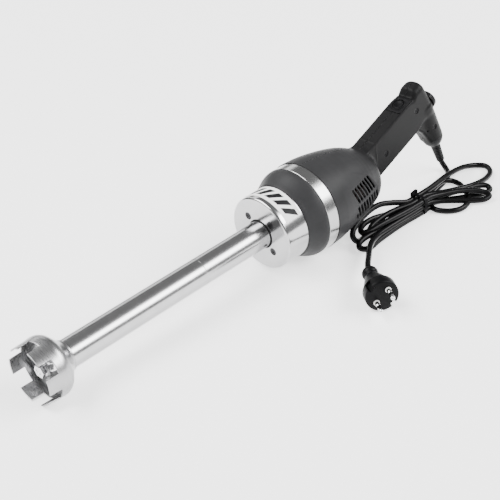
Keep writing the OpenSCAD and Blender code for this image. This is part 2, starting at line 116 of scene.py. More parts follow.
def noise(m, vec, scale, detail, rough=0.55):
    n = node(m, "ShaderNodeTexNoise", Scale=scale, Detail=detail, Roughness=rough)
    link(m, vec, n.inputs["Vector"])
    return n.outputs["Fac"]


# noise mostly stays between these two, and they are stretched to the wanted range
NOISE_LOW, NOISE_HIGH = 0.3, 0.7


def remap(m, fac, lo, hi):
    r = node(m, "ShaderNodeMapRange")
    r.inputs["From Min"].default_value, r.inputs["From Max"].default_value = NOISE_LOW, NOISE_HIGH
    r.inputs["To Min"].default_value, r.inputs["To Max"].default_value = lo, hi
    link(m, fac, r.inputs["Value"])
    return r.outputs["Result"]


def tint(m, fac, dark, light):
    r = node(m, "ShaderNodeValToRGB")
    low, high = r.color_ramp.elements[0], r.color_ramp.elements[1]
    low.position, high.position = NOISE_LOW, NOISE_HIGH
    low.color = (*dark, 1)
    high.color = (*light, 1)
    link(m, fac, r.inputs["Fac"])
    return r.outputs["Color"]


def bump(m, height, strength, distance):
    b = node(m, "ShaderNodeBump", Strength=strength, Distance=distance)
    link(m, height, b.inputs["Height"])
    link(m, b.outputs["Normal"], principled(m).inputs["Normal"])


def brushed(name, base, rough, along, depth=0.00002):
    """Ground or turned metal: hair-fine lines across the direction with the large scale."""
    m = material(name, base, rough, metal=1.0)
    p = principled(m)
    lines = noise(m, coords(m, along), 1.0, detail=3, rough=0.7)
    wide = noise(m, coords(m, (1, 1, 1)), 60, detail=3)
    dark = tuple(c * 0.95 for c in base)
    light = tuple(min(c * 1.03, 1) for c in base)
    link(m, remap(m, lines, rough * 0.82, rough * 1.25), p.inputs["Roughness"])
    link(m, tint(m, wide, dark, light), p.inputs["Base Color"])
    bump(m, lines, 0.12, depth)
    return m


def plastic(name, base, rough, grain=1400, depth=0.00004, spec=0.5, lift=1.18):
    """Moulded plastic: a fine spark-eroded grain and a faint cloudiness in colour and gloss."""
    m = material(name, base, rough, spec=spec)
    p = principled(m)
    v = coords(m)
    cloud = noise(m, v, 35, detail=5)
    fine = noise(m, v, grain, detail=2, rough=0.6)
    dark = tuple(c * 0.93 for c in base)
    light = tuple(c * lift for c in base)
    link(m, tint(m, cloud, dark, light), p.inputs["Base Color"])
    link(m, remap(m, cloud, rough * 0.9, rough * 1.1), p.inputs["Roughness"])
    bump(m, fine, 0.35, depth)
    return m


STEEL = brushed("steel_tube", (0.45, 0.45, 0.455), 0.20, along=(2600, 90, 90))
BELL = brushed("steel_bell", (0.38, 0.38, 0.385), 0.29, along=(1800, 120, 120))
BAND = brushed("steel_band", (0.44, 0.44, 0.44), 0.19, along=(6000, 60, 60), depth=0.00003)
ALLOY = brushed("turned_alloy", (0.47, 0.47, 0.475), 0.155, along=(1500, 60, 60))
BRIGHT = brushed("bright_steel", (0.80, 0.80, 0.81), 0.12, along=(400, 400, 400))
SCREW = brushed("screw_steel", (0.040, 0.040, 0.042), 0.42, along=(700, 700, 700))
BLACKENED = brushed("blackened_steel", (0.02, 0.02, 0.021), 0.5, along=(700, 700, 700))
BODY = plastic("body_plastic", (0.0225, 0.0225, 0.0233), 0.42, spec=0.07)
NOSE = plastic("nose_plastic", (0.022, 0.022, 0.023), 0.46, spec=0.12)
BLACK = plastic("black_plastic", (0.0035, 0.0035, 0.004), 0.38, spec=0.06)
KNOB = plastic("knob_plastic", (0.004, 0.004, 0.0045), 0.38, spec=0.09)
RUBBER = plastic("black_rubber", (0.004, 0.004, 0.0045), 0.50, grain=900, spec=0.12)
PLUGM = plastic("plug_rubber", (0.0028, 0.0028, 0.0031), 0.40, grain=700, depth=0.0001, spec=0.08)
CORD = plastic("cord_vinyl", (0.003, 0.003, 0.0033), 0.26, grain=500, spec=0.10)
IVORY = plastic("white_ring", (0.78, 0.78, 0.76), 0.40, lift=1.05)
COPPER = brushed("winding_copper", (0.60, 0.26, 0.12), 0.35, along=(900, 900, 900))
VARNISH = plastic("varnished_wire", (0.010, 0.005, 0.004), 0.5, grain=2000, spec=0.1)
BRONZE = brushed("bearing_bronze", (0.55, 0.38, 0.18), 0.35, along=(900, 900, 900))
IRON = brushed("laminations", (0.03, 0.03, 0.031), 0.5, along=(3000, 60, 60))
BOARD = plastic("board_green", (0.02, 0.10, 0.04), 0.45)


def paint_shade_along(m, x0, x1, share):
    """Painted shade: base colour falls to a share of itself between two stations along the tool."""
    tc = node(m, "ShaderNodeTexCoord")
    sp = node(m, "ShaderNodeSeparateXYZ")
    link(m, tc.outputs["Object"], sp.inputs["Vector"])
    fall = node(m, "ShaderNodeMapRange", interpolation_type="SMOOTHSTEP")
    for k, v in (("From Min", x0), ("From Max", x1), ("To Min", 1.0), ("To Max", share)):
        fall.inputs[k].default_value = v
    link(m, sp.outputs["X"], fall.inputs["Value"])
    mix = node(m, "ShaderNodeMix", data_type="RGBA", blend_type="MULTIPLY")
    mix.inputs["Factor"].default_value = 1.0
    socket = principled(m).inputs["Base Color"]
    link(m, socket.links[0].from_socket, mix.inputs[6])
    link(m, fall.outputs["Result"], mix.inputs[7])
    link(m, mix.outputs[2], socket)


# painted shade: the handle is darker than the motor housing, its base colour darkened to 0.30 of the
# housing's to stand in for the shade on the handle
paint_shade_along(BODY, x0=0.46, x1=0.50, share=0.30)

# Label plate: white with one row of slanted black blocks, no lettering
LABEL = material("label_print", (0.85, 0.85, 0.85), 0.5, spec=0.12)
PAPER_DARK, PAPER_LIGHT = (0.82, 0.82, 0.82), (0.88, 0.88, 0.87)
INK = (0.008, 0.008, 0.009, 1)


def label_print(m, x0, x1, first, last, pitch, share, slant):
    """Slanted blocks in one row round the X axis; angles in degrees from the near horizontal over the top."""
    tc = node(m, "ShaderNodeTexCoord")
    sp = node(m, "ShaderNodeSeparateXYZ")
    link(m, tc.outputs["Object"], sp.inputs["Vector"])

    def maths(op, *values):
        n = node(m, "ShaderNodeMath", operation=op)
        for k, v in enumerate(values):
            if isinstance(v, (int, float)):
                n.inputs[k].default_value = v
            else:
                link(m, v, n.inputs[k])
        return n.outputs[0]

    minus_y = maths("MULTIPLY", sp.outputs["Y"], -1.0)
    angle = maths("MULTIPLY", maths("ARCTAN2", sp.outputs["Z"], minus_y), 180 / math.pi)
    along = maths("DIVIDE", maths("SUBTRACT", sp.outputs["X"], x0), x1 - x0)
    shifted = maths("ADD", angle, maths("MULTIPLY", along, slant))
    cell = maths("FRACT", maths("DIVIDE", maths("SUBTRACT", shifted, first), pitch))
    ink = maths("LESS_THAN", cell, share)
    for lo, hi, v in ((0, 1, along), (first, last, shifted)):
        between = maths("MULTIPLY", maths("GREATER_THAN", v, lo), maths("LESS_THAN", v, hi))
        ink = maths("MULTIPLY", ink, between)
    grain = noise(m, tc.outputs["Object"], 900, detail=2)
    mix = node(m, "ShaderNodeMix", data_type="RGBA")
    link(m, ink, mix.inputs["Factor"])
    link(m, tint(m, grain, PAPER_DARK, PAPER_LIGHT), mix.inputs[6])
    mix.inputs[7].default_value = INK
    link(m, mix.outputs[2], principled(m).inputs["Base Color"])
    link(m, remap(m, grain, 0.45, 0.6), principled(m).inputs["Roughness"])
    bump(m, grain, 0.1, 0.00002)


label_print(LABEL, x0=0.3335, x1=0.3478, first=46.0, last=165.0, pitch=17.0, share=0.62, slant=12.0)


# ---- mesh helpers
SHORTEST_M = 2e-6  # points nearer than this are one point
BEVEL_STEPS = 2
BEVEL_ANGLE = math.radians(35)


def piece(name, verts, faces, mat, place=LAY, body="tool", slot=None, replaces=(), bevel=0.0, angle=35):
    """Makes one piece from points in millimetres."""
    mesh = bpy.data.meshes.new(name)
    points = [tuple(c * MM for c in v) for v in verts]
    mesh.from_pydata(points, [], [tuple(int(i) for i in f) for f in faces])
    mesh.validate()
    mesh.update()
    bm = bmesh.new()
    bm.from_mesh(mesh)
    bmesh.ops.remove_doubles(bm, verts=bm.verts, dist=SHORTEST_M)
    bmesh.ops.recalc_face_normals(bm, faces=bm.faces)
    bm.to_mesh(mesh)
    bm.free()
    return settle(name, mesh, mat, place, body, replaces, bevel, angle)


def settle(name, mesh, mat, place=LAY, body="tool", replaces=(), bevel=0.0, angle=35):
    """Places a mesh and says what it rides on and what it stands for."""
    obj = bpy.data.objects.new(name, mesh)
    bpy.context.collection.objects.link(obj)
    obj.matrix_world = place
    mesh.materials.append(mat)
    mesh.shade_smooth()
    if angle < 180:
        mark_sharp(mesh, angle)
    if bevel:
        b = obj.modifiers.new("bevel", "BEVEL")
        b.width, b.segments = bevel * MM, BEVEL_STEPS
        b.limit_method, b.angle_limit = "ANGLE", BEVEL_ANGLE
        b.harden_normals = True
        b.use_clamp_overlap = True
    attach(obj, body)
    if replaces:
        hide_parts(*replaces)
    return obj


def mark_sharp(mesh, angle):
    bm = bmesh.new()
    bm.from_mesh(mesh)
    limit = math.radians(angle)
    for e in bm.edges:
        if len(e.link_faces) == 2 and e.calc_face_angle(0) > limit:
            e.smooth = False
    bm.to_mesh(mesh)
    bm.free()


def round_corners(points, radius, steps=4):
    """Replaces each corner of a profile by a short arc; radius may be a list with one entry per corner."""
    n = len(points)
    radii = radius if isinstance(radius, (list, tuple)) else [radius] * n
    out = []
    for i, p in enumerate(points):
        p = np.array(p, float)
        if radii[i] <= 0:
            out.append(p)
            continue
        a, b = np.array(points[i - 1], float) - p, np.array(points[(i + 1) % n], float) - p
        la, lb = np.linalg.norm(a), np.linalg.norm(b)
        a, b = a / la, b / lb
        turn = math.acos(max(-1, min(1, float(a @ b))))
        if turn > math.pi - 0.05:
            out.append(p)
            continue
        reach = min(radii[i] / math.tan(turn / 2), 0.45 * la, 0.45 * lb)
        s, e = p + a * reach, p + b * reach
        for t in np.linspace(0, 1, steps + 1):
            out.append((1 - t) ** 2 * s + 2 * t * (1 - t) * p + t * t * e)
    return out


def lathe(name, profile, mat, axis="X", segments=128, closed=True, **kw):
    """Solid of revolution from (distance, radius) points, about local X or local Z."""
    verts, faces, rows = [], [], []
    for x, r in profile:
        if r < 1e-6:
            rows.append([len(verts)] * segments)
            verts.append((x, 0, 0))
        else:
            rows.append(list(range(len(verts), len(verts) + segments)))
            for k in range(segments):
                t = 2 * math.pi * k / segments
                verts.append((x, r * math.cos(t), r * math.sin(t)))
    if axis == "Z":
        verts = [(y, z, x) for x, y, z in verts]
    n = len(profile)
    for i in range(n if closed else n - 1):
        a, b = rows[i], rows[(i + 1) % n]
        for k in range(segments):
            q = [a[k], b[k], b[(k + 1) % segments], a[(k + 1) % segments]]
            q = list(dict.fromkeys(q))
            if len(q) > 2:
                faces.append(q)
    return piece(name, verts, faces, mat, **kw)


# 2-D point and height to 3-D point
PLANES = {"XY": lambda a, b, h: (a, b, h), "XZ": lambda a, b, h: (a, h, b), "YZ": lambda a, b, h: (h, a, b)}


def prism(outline, lo, hi, plane="XY"):
    """Straight prism from a 2-D outline, as vertices and faces."""
    n = len(outline)
    put = PLANES[plane]
    verts = [put(a, b, lo) for a, b in outline] + [put(a, b, hi) for a, b in outline]
    faces = [tuple(range(n)), tuple(range(2 * n - 1, n - 1, -1))]
    faces += [(i, (i + 1) % n, n + (i + 1) % n, n + i) for i in range(n)]
    return verts, faces


def hollow_prism(outer, inner, lo, hi, plane):
    """Straight band between two outlines, as vertices and faces."""
    n = len(outer)
    put = PLANES[plane]
    verts = [put(a, b, h) for line in (outer, inner) for h in (lo, hi) for a, b in line]
    faces = []
    for k in range(n):
        j = (k + 1) % n
        faces += [(k, j, n + j, n + k), (2 * n + k, 3 * n + k, 3 * n + j, 2 * n + j),
                  (k, 2 * n + k, 2 * n + j, j), (n + k, n + j, 3 * n + j, 3 * n + k)]
    return verts, faces


def circle_points(r, n, cx=0.0, cy=0.0, a0=0.0):
    angles = [a0 + 2 * math.pi * k / n for k in range(n)]
    return [(cx + r * math.cos(t), cy + r * math.sin(t)) for t in angles]


def rounded_rect(w, h, r, steps=5, cx=0.0, cy=0.0):
    out = []
    for sx, sy, a0 in ((1, 1, 0), (-1, 1, 90), (-1, -1, 180), (1, -1, 270)):
        for k in range(steps + 1):
            t = math.radians(a0 + 90 * k / steps)
            out.append((cx + sx * (w / 2 - r) + r * math.cos(t), cy + sy * (h / 2 - r) + r * math.sin(t)))
    return out


def stacked(name, outlines, mat, plane="XY", **kw):
    """Closed loft through outlines of equal count, each an (outline, height) pair."""
    put = PLANES[plane]
    n = len(outlines[0][0])
    verts = [put(a, b, h) for o, h in outlines for a, b in o]
    faces = []
    for i in range(len(outlines) - 1):
        for k in range(n):
            faces.append((i * n + k, i * n + (k + 1) % n, (i + 1) * n + (k + 1) % n, (i + 1) * n + k))
    faces.append(tuple(range(n)))
    faces.append(tuple(range((len(outlines) - 1) * n, len(outlines) * n)))
    return piece(name, verts, faces, mat, **kw)


def cut(obj, name, verts, faces):
    """Cuts a closed shape, given in the piece's own frame, out of the piece."""
    mesh = bpy.data.meshes.new(name)
    mesh.from_pydata([tuple(c * MM for c in v) for v in verts], [], faces)
    bm = bmesh.new()
    bm.from_mesh(mesh)
    bmesh.ops.recalc_face_normals(bm, faces=bm.faces)
    bm.to_mesh(mesh)
    bm.free()
    tool = bpy.data.objects.new(name, mesh)
    bpy.context.collection.objects.link(tool)
    tool.matrix_world = obj.matrix_world
    bpy.context.view_layer.update()
    mod = obj.modifiers.new("cut", "BOOLEAN")
    mod.operation, mod.solver, mod.object = "DIFFERENCE", "EXACT", tool
    dg = bpy.context.evaluated_depsgraph_get()
    new = bpy.data.meshes.new_from_object(obj.evaluated_get(dg), depsgraph=dg)
    obj.modifiers.remove(mod)
    old = obj.data
    obj.data = new
    bpy.data.meshes.remove(old)
    bpy.data.objects.remove(tool)


# ---- the lead, first of all
CORD_D = 7.0
PER_STRETCH = 8  # points on the line between two points of the route
FLOOR_GAP = 0.02


def spline(points, per):
    """Smooth line through the points, with per steps in each stretch."""
    p = [np.array(q, float) for q in points]
    p = [2 * p[0] - p[1]] + p + [2 * p[-1] - p[-2]]
    out = []
    for i in range(1, len(p) - 2):
        a, b, c, d = p[i - 1:i + 3]
        ta, tb, tc = (max(np.linalg.norm(v) ** 0.5, 1e-3) for v in (b - a, c - b, d - c))
        m1 = tb * ((b - a) / ta - (c - a) / (ta + tb) + (c - b) / tb)
        m2 = tb * ((c - b) / tb - (d - b) / (tb + tc) + (d - c) / tc)
        for t in np.arange(per) / per:
            out.append((2 * t ** 3 - 3 * t ** 2 + 1) * b + (t ** 3 - 2 * t ** 2 + t) * m1
                       + (3 * t ** 2 - 2 * t ** 3) * c + (t ** 3 - t ** 2) * m2)
    out.append(p[-2])
    return np.array(out)


# Heights and sides of the nine strands where the tie holds them
TIE_X = 540
TIE_REACH = 13
COL = {1: -55.0, 2: -48.0, 3: -41.0}
ROW = {"B": 3.52, "M": 10.55, "T": 17.55}


def at_tie(slot, x):
    return (x, COL[int(slot[1])], ROW[slot[0]])


def through(slot, leftwards=True):
    xs = (TIE_X + TIE_REACH, TIE_X, TIE_X - TIE_REACH)
    return [at_tie(slot, x) for x in (xs if leftwards else xs[::-1])]


ROUTE = (
    [(641.4, 0, 18.6), (642.6, 0, 15.9), (645.2, -0.8, 10), (645.8, -4.6, 5.2), (643, -10, 3.4),
     (637, -16.5, 3.52), (628, -22.5, 3.52), (614, -27.5, 3.52), (598, -31.5, 3.52), (580, -36, 3.52),
     (566, -40, 3.52)]
    + through("B3")
    + [(510, -40, 3.52), (490, -39.5, 3.52), (470, -38.5, 3.52), (453, -39.5, 3.4), (438.5, -42.5, 4.4),
       (430.5, -43.5, 8.4), (428.5, -41, 13.4), (432, -38.5, 19.2), (442, -36.8, 24.2),
       (456, -34.5, 27.4), (471, -32, 28), (488, -31, 27), (506, -34.5, 23)]
    + through("T3", False)
    + [(575, -39.3, 17), (602, -35.5, 16.6), (628, -31, 13.8), (650, -28, 9.8), (664, -28, 6.4),
       (675.5, -31.5, 4), (681.5, -40, 3.52), (678.5, -49, 3.52), (669, -57.5, 4), (652, -64, 5.6),
       (632, -67.5, 8.8), (612, -67.5, 12), (592, -63.5, 14.4), (572, -55.5, 15.8)]
    + through("T2")
    + [(510, -43.5, 17), (492, -41, 16.8), (474, -40.5, 15.4), (461, -41.5, 13.4), (452, -45.5, 10.2),
       (451, -50.5, 7.2), (457, -53, 4.5), (470, -51, 3.52), (490, -49, 3.52), (510, -48, 3.52)]
    + through("B2", False)
    + [(566, -51, 3.52), (582, -59.5, 3.52), (597, -69.5, 3.52), (611, -78, 3.52), (622, -84, 3.5),
       (632, -84.5, 5.4), (633, -79.5, 7.8), (625, -73.5, 9.6), (609, -67.5, 10.4), (590, -60.5, 10.4),
       (570, -52.5, 10.2)]
    + through("M2")
    + [(508, -47, 10.2), (488, -47, 10.2), (470, -48, 10), (452, -49, 9.8), (438, -49, 9.4),
       (428, -51, 8.2), (424, -55.5, 6.2), (428, -60, 4.4), (438, -61, 3.4), (452, -58.5, 3.52),
       (470, -56.5, 3.52), (490, -55, 3.52), (508, -54.5, 3.52)]
    + through("B1", False)
    + [(553, -66, 3.52), (561, -79, 3.52), (574, -85.5, 3.52), (589, -83, 3.52), (604, -72.5, 3.52),
       (616, -57, 3.52), (623, -44, 3.4), (622, -35, 4.6), (612, -30.5, 7.4), (596, -33, 10),
       (573, -38.5, 10.6)]
    + through("M3")
    + [(508, -38.5, 10.4), (490, -34.5, 12.6), (473, -32, 14.6), (457, -33, 14.8), (446, -37.5, 13.6),
       (443.5, -43, 12.8), (451.5, -47.5, 13.8), (467, -50, 15.8), (487, -52.5, 16.8),
       (506, -53.8, 16.8)]
    + through("T1", False)
    + [(566, -58.5, 16.6), (583, -66, 16), (598, -74.5, 14.4), (609, -83, 12), (616, -90.5, 9.2),
       (616, -95.5, 6.6), (609, -95, 5), (599, -88.5, 5), (589, -80, 6.2), (575, -69, 8.2),
       (563, -60, 9.6)]
    + through("M1")
    + [(508, -54.8, 10), (490, -55, 10.2), (472, -55.5, 10.2), (454, -57.5, 10.6), (438, -62.5, 11.4),
       (425, -70, 12.6), (413, -79, 14.2), (401, -88.5, 16.2), (389, -98, 18.4), (380, -106.4, 19.3),
       (376.9, -111, 19.3)]
)
LINE = spline(ROUTE, PER_STRETCH)
LINE[:, 2] = np.maximum(LINE[:, 2], CORD_D / 2 + FLOOR_GAP)

curve = bpy.data.curves.new("power_cord", "CURVE")
curve.dimensions = "3D"
poly = curve.splines.new("POLY")
poly.points.add(len(LINE) - 1)
for pt, q in zip(poly.points, LINE):
    pt.co = ((q[0] - ORIGIN_X) * MM, q[1] * MM, q[2] * MM, 1)
curve.bevel_depth = CORD_D / 2 * MM
curve.bevel_resolution = 5
curve.use_fill_caps = True
curve.materials.append(CORD)
cord = bpy.data.objects.new("power_cord", curve)
bpy.context.collection.objects.link(cord)
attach(cord, "tool")
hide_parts("mains_lead", "cord_hank", "plug_lead")

# ---- plug
PLUG_CURVE = [
    (0.0, 0), (0.0, 16.9), (-0.5, 17.9), (-1.2, 18.4), (-2.2, 18.6), (-12.6, 18.6), (-13.6, 18.3),
    (-14.3, 17.5), (-14.8, 16.8), (-16.5, 16.2), (-20, 15.2), (-25, 13.6), (-30, 11.8), (-34, 10.4),
    (-37, 9.3), (-38.6, 8.5), (-39.4, 7.6), (-40.2, 7.5), (-41, 8.0), (-42, 8.1), (-42.8, 7.4),
    (-43.6, 7.4), (-44.6, 8.2), (-46, 8.9), (-48, 9.2), (-50, 8.9), (-51.6, 8.1), (-52.8, 6.8),
    (-53.6, 5.6), (-54, 4.2), (-54, 0)]
plug = lathe("plug_moulding", PLUG_CURVE, PLUGM, segments=96, closed=False, place=PLUG, slot="rubber",
             replaces=("plug_body",))
PIN = math.radians(-42.8)  # turn of the pin line round the plug's own axis
PIN_REACH = 9.5


def pin_spin(points):
    c, s = math.cos(PIN), math.sin(PIN)
    return [(x, y * c - z * s, y * s + z * c) for x, y, z in points]


for side in (1, -1):
    out = rounded_rect(9.4, 7.0, 1.4, cx=side * 18.4)
    v, f = prism(out, -15.0, 1.5, "YZ")
    cut(plug, "earth_slot", pin_spin(v), f)
    out = rounded_rect(6, 13, 2.0, cx=side * 21.0)
    v, f = prism(out, -15.5, -9.5, "YZ")
    cut(plug, "finger_flat", pin_spin(v), f)
for side in (1, -1):
    v, f = prism(circle_points(3.5, 40, 0, side * PIN_REACH), -1.0, 1.5, "YZ")
    cut(plug, "pin_seat", pin_spin(v), f)
mark_sharp(plug.data, 35)

PIN_RING = [(-1, 2.4), (-1, 3.4), (0.15, 3.4), (0.5, 3.1), (0.55, 2.75), (0.4, 2.4)]
PIN_CURVE = [
    (-2, 0), (-2, 2.38), (7.2, 2.38), (7.4, 2.25), (7.6, 2.38), (16.8, 2.38), (17.9, 2.1), (18.6, 1.5),
    (18.95, 0.8), (19, 0)]
for i, side in enumerate((1, -1)):
    c = (0, -side * PIN_REACH * math.sin(PIN), side * PIN_REACH * math.cos(PIN))
    place = PLUG @ Matrix.Translation(tuple(k * MM for k in c))
    lathe(f"pin_ring_{i + 1}", PIN_RING, IVORY, segments=40, place=place, slot="ivory",
                           replaces=("pin_collars",) if i == 0 else ())
    lathe(f"plug_pin_{i + 1}", PIN_CURVE, BRIGHT, segments=40, closed=False, place=place,
                           slot="bright", replaces=("plug_pins",) if i == 0 else ())

# ---- tie round the coil
TIE = TABLE @ Matrix.Translation((TIE_X * MM, 0, 0))
strap_out = rounded_rect(23.2, 22.7, 4.8, cx=-48.0, cy=11.35)
strap_in = rounded_rect(21.9, 21.9, 4.3, cx=-48.0, cy=11.35)
tie = piece("tie_strap", *hollow_prism(strap_out, strap_in, -2.3, 2.3, "YZ"), BLACK, place=TIE, slot="black",
            replaces=("cable_tie",), bevel=0.25)
# the strap's head with its window, standing up beside the coil
ear_out = rounded_rect(12.5, 5.2, 1.6)
ear_in = rounded_rect(8.6, 2.4, 0.9)
ear_place = TIE @ Matrix.Translation((-0.002, -0.0420, 0.0254)) @ Matrix.Rotation(math.radians(8), 4, "Z")
ear = piece("tie_head", *hollow_prism(ear_out, ear_in, -1.5, 1.5, "XZ"), BLACK, slot="black", bevel=0.3,
            place=ear_place)
ear_foot = piece("tie_foot", *prism(rounded_rect(5, 5, 1), 22.1, 23.8), BLACK, slot="black", bevel=0.2,
                 place=TIE @ Matrix.Translation((0, -0.0430, 0)))

# ---- bell
SHEET = 1.5
SHOULDER_R, SHOULDER_X = 14.0, 22.0
NECK_BORE = 16.05
BELL_STEPS = 180  # faces round the bell
BELL_TURN = math.radians(-3)
NOTCH_PITCH = 60  # degrees from one notch in the rim to the next
NOTCH_FROM, NOTCH_TO = 15, 45
NOTCH_FLOOR = 2  # outline point where they end


def bell_line(t):
    """Outline of the bell from the rim back to the neck, t inside the outer face."""
    pts = [(0.0, 32.7 - t), (8.0, 33.0 - t), (15.0, 33.4 - t), (SHOULDER_X, GUARD_R - t)]
    for a in np.linspace(7, 52, 8):
        pts.append((SHOULDER_X + (SHOULDER_R - t) * math.sin(math.radians(a)),
                    GUARD_R - SHOULDER_R + (SHOULDER_R - t) * math.cos(math.radians(a))))
    pts += [(36.6 - 1.2 * t, 24.3 - t), (39.6 - 1.3 * t, 20.6 - t), (41.6 - 1.2 * t, 18.6 - 0.6 * t)]
    return pts


def bell():
    """Thin bell with notches in its rim, so that six tabs are left."""
    outer = bell_line(0) + [(43.2, 17.7), (45.4, 17.2), (45.6, NECK_BORE)]
    inner = bell_line(SHEET)[::-1]
    prof = outer + [(40.0, NECK_BORE)] + inner
    n = len(prof)
    cut_o = NOTCH_FLOOR
    cut_i = n - 1 - NOTCH_FLOOR
    verts, faces = [], []
    ids = {}

    def vid(i, k):
        key = (i, k % BELL_STEPS)
        if key not in ids:
            x, r = prof[i]
            t = 2 * math.pi * (k % BELL_STEPS) / BELL_STEPS + BELL_TURN
            ids[key] = len(verts)
            verts.append((x, r * math.cos(t), r * math.sin(t)))
        return ids[key]

    def open_at(k):
        a = ((k + 0.5) * 360 / BELL_STEPS) % NOTCH_PITCH
        return NOTCH_FROM < a < NOTCH_TO

    for i in range(n):
        j = (i + 1) % n
        tab_face = i < cut_o or i >= cut_i
        for k in range(BELL_STEPS):
            if tab_face and open_at(k):
                continue
            faces.append((vid(i, k), vid(j, k), vid(j, k + 1), vid(i, k + 1)))
    for k in range(BELL_STEPS):
        if open_at(k):
            faces.append((vid(cut_o, k), vid(cut_o, k + 1), vid(cut_i, k + 1), vid(cut_i, k)))
        if open_at(k) != open_at(k - 1):
            ring = [vid(i, k) for i in list(range(cut_i, n)) + list(range(0, cut_o + 1))]
            faces.append(tuple(ring))
    return piece("bell", verts, faces, BELL, slot="steel", replaces=("blade_guard",), bevel=0.35, angle=28)


bell()

# ---- blade, nut and what turns in the bell
HEX = circle_points(8.0, 6)
NUT_STEPS = ((11.0, 0.86), (11.6, 0.97), (12.2, 1.0), (18.0, 1.0))
nut = stacked("nut", [([(a * s, b * s) for a, b in HEX], x) for x, s in NUT_STEPS], BRIGHT, plane="YZ",
              body="spindle", slot="bright", replaces=("blade_nut",), bevel=0.3)
for s in (1, -1):
    v, f = prism(circle_points(0.95, 20, s * 2.6, s * 1.2), 10, 13.5, "YZ")
    cut(nut, "spanner_hole", v, f)
v, f = prism(circle_points(1.5, 24), 10, 11.5, "YZ")
cut(nut, "centre_mark", v, f)
mark_sharp(nut.data, 30)

HUB_CURVE = round_corners([(18, 5.0), (18, 8.5), (23, 8.5), (23, 5.0)], 0.5)
lathe("blade_hub", HUB_CURVE, BELL, segments=64, body="spindle", slot="steel", replaces=("blade",))

# reach, half width, twist in degrees and middle along the axis of each section of an arm
ARM_SECTIONS = (
    (5.5, 5.2, 6, 20.5), (9, 5.0, 12, 20.6), (14, 4.6, 18, 20.9), (20, 3.9, 24, 21.6), (25, 3.0, 27, 22.4),
    (27, 1.9, 28, 22.8))


def blade_arm(name, turn):
    """One twisted arm with a ground cutting edge, lofted from thin sections along its length."""
    secs = []
    for r, half, twist, middle in ARM_SECTIONS:
        t = math.radians(twist)
        sec = [(-half, -0.12), (-half * 0.55, -0.85), (half * 0.8, -0.85), (half, -0.4), (half, 0.4),
               (half * 0.8, 0.85), (-half * 0.55, 0.85), (-half, 0.12)]
        secs.append([(middle + a * math.sin(t) + b * math.cos(t), a * math.cos(t) - b * math.sin(t), r)
                     for a, b in sec])
    m = len(secs[0])
    c, s = math.cos(turn), math.sin(turn)
    verts = [(x, y * c - z * s, y * s + z * c) for sec in secs for x, y, z in sec]
    faces = [(i * m + k, i * m + (k + 1) % m, (i + 1) * m + (k + 1) % m, (i + 1) * m + k)
             for i in range(len(secs) - 1) for k in range(m)]
    faces += [tuple(range(m)), tuple(range((len(secs) - 1) * m, len(secs) * m))]
    return piece(name, verts, faces, BRIGHT, body="spindle", slot="steel", bevel=0.12, angle=25)


blade_arm("blade_arm_1", math.radians(62))
blade_arm("blade_arm_2", math.radians(242))

# ---- shaft tube with its engraved line
MARK = 226.6
TUBE_CURVE = [
    (40, 14.5), (40, 15.8), (40.3, 16), (MARK - 0.7, 16), (MARK - 0.35, 15.6), (MARK + 0.35, 15.6),
    (MARK + 0.7, 16), (344.1, 16), (344.3, 15.8), (344.3, 14.5)]
lathe("tube", TUBE_CURVE, STEEL, segments=160, slot="steel", replaces=("shaft_tube",), angle=25)
SEAL_CURVE = round_corners([(322.0, 16.02), (322.0, 17.4), (326.3, 17.4), (326.3, 16.02)], 0.4)
lathe("tube_ring", SEAL_CURVE, RUBBER, slot="rubber", replaces=("tube_seal",))

# ---- collar and its screws
CX, CE, CR = 322.3, 353.9, 43.6  # front face, rear face and radius
COLLAR_CORNERS = [
    (340.3, 36), (CE, 36), (CE, CR), (CX, CR), (CX, 17.5), (326.3, 17.5), (326.3, 16.0), (340.3, 16.0)]
COLLAR_CURVE = round_corners(COLLAR_CORNERS, [0.3, 0.3, 0.5, 3.2, 0.5, 0.2, 0.2, 0.3], steps=8)
SCREW_REACH = 24.3
SCREW_TURNS = (45, 135, 225, 315)
HEAD_CURVE = [
    (CX + 0.3, 0), (CX + 0.3, 3.6), (CX + 0.45, 3.85), (CX + 0.8, 3.98), (CX + 4.5, 3.98), (CX + 4.5, 2.5),
    (CE + 5.3, 2.5), (CE + 5.3, 0)]


def screw_centre(turn):
    t = math.radians(turn)
    return SCREW_REACH * math.cos(t), SCREW_REACH * math.sin(t)


collar = lathe("collar_ring", COLLAR_CURVE, ALLOY, segments=192, slot="alloy", replaces=("collar",), angle=30)
for a in SCREW_TURNS:
    cy, cz = screw_centre(a)
    v, f = prism(circle_points(4.5, 48, cy, cz), CX - 1, CX + 4.6, "YZ")
    cut(collar, "counterbore", v, f)
    v, f = prism(circle_points(2.6, 32, cy, cz), CX + 4, CX + 19, "YZ")
    cut(collar, "screw_hole", v, f)
mark_sharp(collar.data, 30)
for i, a in enumerate(SCREW_TURNS):
    cy, cz = screw_centre(a)
    place = LAY @ Matrix.Translation((0, cy * MM, cz * MM))
    head = lathe(f"collar_screw_{i + 1}", HEAD_CURVE, SCREW, segments=48, closed=False, place=place,
                 slot="steel", replaces=("collar_screws",) if i == 0 else (), angle=40)
    v, f = prism(circle_points(2.0, 6, 0, 0, 0.3 + i), CX - 1, CX + 0.75, "YZ")
    cut(head, "hex_socket", v, f)
    mark_sharp(head.data, 35)

